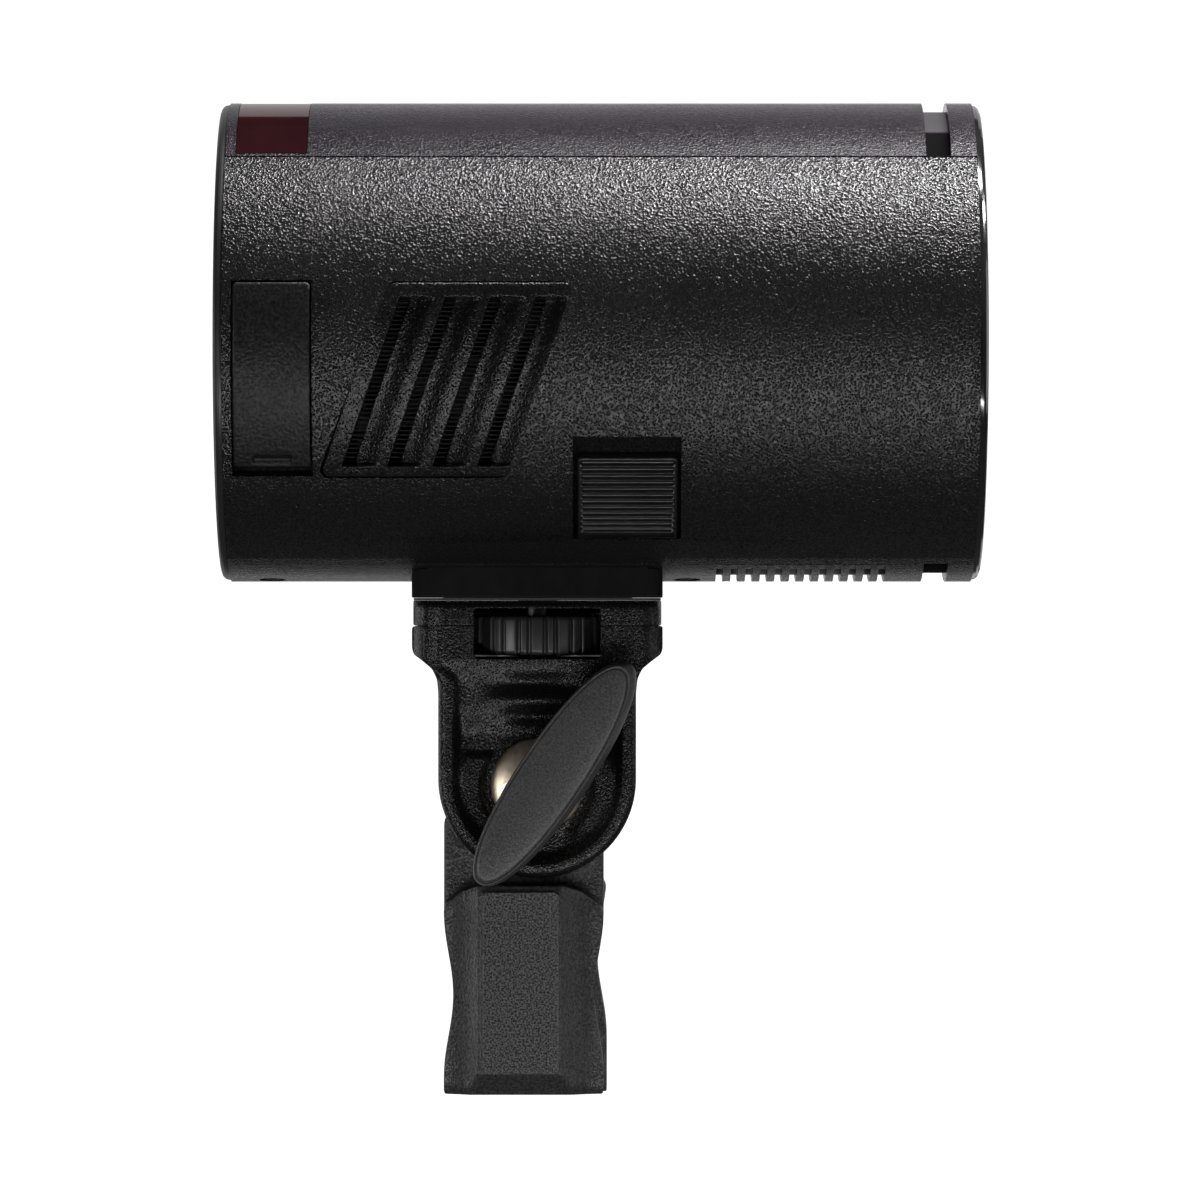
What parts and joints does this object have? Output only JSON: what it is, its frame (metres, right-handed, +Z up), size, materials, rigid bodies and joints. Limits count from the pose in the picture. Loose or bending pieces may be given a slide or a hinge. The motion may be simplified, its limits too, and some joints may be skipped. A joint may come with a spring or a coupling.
{
  "type": "monolight strobe",
  "caption": "Compact cylindrical battery flash head with rear controls, on a tilting yoke and a light stand socket with clamp knob.",
  "frame": {"origin": "centre of the light stand socket's mouth, on the underside of the stand block", "axes": "+Z up along the stand socket, +X the way the flash points when level, +Y towards the battery door and clamp knob"},
  "size_m": [0.1208, 0.076, 0.157],
  "materials": {
    "shell_plastic": "coarse spark-textured black moulding",
    "cover_plastic": "finer grained black moulding",
    "gloss_black": "polished black",
    "satin_black": "fine satin black",
    "inner_plastic": "plain black moulding",
    "bracket_plastic": "fine leather-grained glass-filled nylon",
    "rubber_black": "smooth matte rubber",
    "red_window": "smoked red",
    "clear_glass": "clear",
    "frosted_tube": "frosted quartz",
    "lcd_glass": "dark cover glass",
    "reflector_metal": "bright anodised",
    "steel": "plain zinc",
    "dark_steel": "black oxide",
    "brass": "satin brass",
    "ceramic_white": "ceramic",
    "board_green": "solder resist",
    "capacitor_sleeve": "shrink sleeve",
    "cell_sleeve": "shrink sleeve",
    "led_yellow": "phosphor",
    "nylon_white": "plain nylon",
    "button_red": "matte"
  },
  "bodies": {
    "stand_block": {"stand_block": "bracket_plastic", "grip_pad": "rubber_black"},
    "clamp_shoe": {"clamp_shoe": "brass"},
    "clamp_knob": {"clamp_knob": "satin_black", "clamp_screw": "steel"},
    "yoke": {"yoke": "bracket_plastic", "yoke_cap": "bracket_plastic", "shoe_pad": "rubber_black", "pivot_bolt": "steel", "pivot_washer": "brass", "friction_discs": "nylon_white"},
    "tilt_lever": {"tilt_lever": "satin_black"},
    "thumb_wheel": {"thumb_wheel": "satin_black", "camera_screw": "steel"},
    "fan_rotor": {"fan_rotor": "inner_plastic"},
    "port_cover": {"port_cover": "rubber_black"},
    "battery_latch": {"battery_latch": "satin_black"},
    "battery": {"battery_case": "shell_plastic", "battery_cells": "cell_sleeve"},
    "control_dial": {"control_dial": "satin_black"},
    "set_button": {"set_button": "rubber_black"},
    "mode_button": {"mode_button": "rubber_black"},
    "group_button": {"group_button": "rubber_black"},
    "wireless_button": {"wireless_button": "rubber_black"},
    "lamp_button": {"lamp_button": "rubber_black"},
    "test_button": {"test_button": "button_red"},
    "power_button": {"power_button": "rubber_black"},
    "head": {"side_shell_left": "shell_plastic", "side_shell_right": "shell_plastic", "top_cover": "cover_plastic", "bottom_cover": "cover_plastic", "sensor_window": "red_window", "accessory_rails": "gloss_black", "front_bezel": "gloss_black", "front_glass": "clear_glass", "front_barrel": "gloss_black", "accessory_magnets": "steel", "reflector": "reflector_metal", "flash_tube": "frosted_tube", "lamp_base": "ceramic_white", "modelling_leds": "led_yellow", "bulkhead": "inner_plastic", "capacitors": "capacitor_sleeve", "trigger_transformer": "led_yellow", "main_board": "board_green", "battery_bay": "inner_plastic", "battery_terminals": "brass", "rear_panel": "satin_black", "lcd_window": "lcd_glass", "lcd_module": "nylon_white", "control_board": "board_green", "vent_grille": "shell_plastic", "vent_mesh": "inner_plastic", "fan_frame": "inner_plastic", "usb_port": "steel", "sync_jack": "inner_plastic", "slave_sensor": "red_window", "mount_foot": "bracket_plastic", "thread_insert": "brass", "case_screws": "dark_steel"}
  },
  "joints": [
    {"name": "clamp_slide", "type": "slide", "parent": "stand_block", "child": "clamp_shoe", "axis": [0, -1, 0], "range_m": [0, 0.003]},
    {"name": "clamp_turn", "type": "hinge", "parent": "clamp_shoe", "child": "clamp_knob", "pos_m": [0, 0.02, 0.016], "axis": [0, -1, 0], "range_deg": [0, 865]},
    {"name": "tilt", "type": "hinge", "parent": "stand_block", "child": "yoke", "pos_m": [0.002, 0, 0.049], "axis": [0, 1, 0], "range_deg": [-90, 90]},
    {"name": "lever_turn", "type": "hinge", "parent": "yoke", "child": "tilt_lever", "pos_m": [0.002, -0.018, 0.049], "axis": [0, -1, 0], "range_deg": [0, 180]},
    {"name": "thumb_wheel_turn", "type": "hinge", "parent": "yoke", "child": "thumb_wheel", "pos_m": [0.002, 0, 0.0725], "axis": [0, 0, 1], "range_deg": [-2268, 0]},
    {"name": "head_release", "type": "slide", "parent": "yoke", "child": "head", "axis": [0, 0, 1], "range_m": [0, 0.008]},
    {"name": "fan_spin", "type": "hinge", "parent": "head", "child": "fan_rotor", "pos_m": [-0.0116, -0.0242, 0.1123], "axis": [0, 1, 0], "continuous": true},
    {"name": "port_cover_open", "type": "hinge", "parent": "head", "child": "port_cover", "pos_m": [-0.0389, -0.03707, 0.12735], "axis": [-1, 0, 0], "range_deg": [0, 100]},
    {"name": "battery_latch_slide", "type": "hinge", "parent": "head", "child": "battery_latch", "pos_m": [0.012, 0, 0.119], "axis": [-1, 0, 0], "range_deg": [0, 4.2], "stiffness_Nm_per_rad": 0.6, "springref_deg": -2.86},
    {"name": "battery_out", "type": "slide", "parent": "head", "child": "battery", "axis": [0, 1, 0], "range_m": [0, 0.058]},
    {"name": "dial_turn", "type": "hinge", "parent": "head", "child": "control_dial", "pos_m": [-0.048, 0, 0.1015], "axis": [1, 0, 0], "continuous": true},
    {"name": "set_press", "type": "slide", "parent": "head", "child": "set_button", "axis": [1, 0, 0], "range_m": [0, 0.0005], "stiffness_N_per_m": 600, "springref_m": -0.0008},
    {"name": "mode_press", "type": "slide", "parent": "head", "child": "mode_button", "axis": [1, 0, 0], "range_m": [0, 0.0006], "stiffness_N_per_m": 600, "springref_m": -0.0008},
    {"name": "group_press", "type": "slide", "parent": "head", "child": "group_button", "axis": [1, 0, 0], "range_m": [0, 0.0006], "stiffness_N_per_m": 600, "springref_m": -0.0008},
    {"name": "wireless_press", "type": "slide", "parent": "head", "child": "wireless_button", "axis": [1, 0, 0], "range_m": [0, 0.0006], "stiffness_N_per_m": 600, "springref_m": -0.0008},
    {"name": "lamp_press", "type": "slide", "parent": "head", "child": "lamp_button", "axis": [1, 0, 0], "range_m": [0, 0.0006], "stiffness_N_per_m": 600, "springref_m": -0.0008},
    {"name": "test_press", "type": "slide", "parent": "head", "child": "test_button", "axis": [1, 0, 0], "range_m": [0, 0.0006], "stiffness_N_per_m": 600, "springref_m": -0.0008},
    {"name": "power_press", "type": "slide", "parent": "head", "child": "power_button", "axis": [1, 0, 0], "range_m": [0, 0.0006], "stiffness_N_per_m": 600, "springref_m": -0.0008}
  ],
  "couplings": [
    {"joint": "clamp_turn", "follows": "clamp_slide", "rad_per_m": 5026.5},
    {"joint": "thumb_wheel_turn", "follows": "head_release", "rad_per_m": -4947.4}
  ]
}
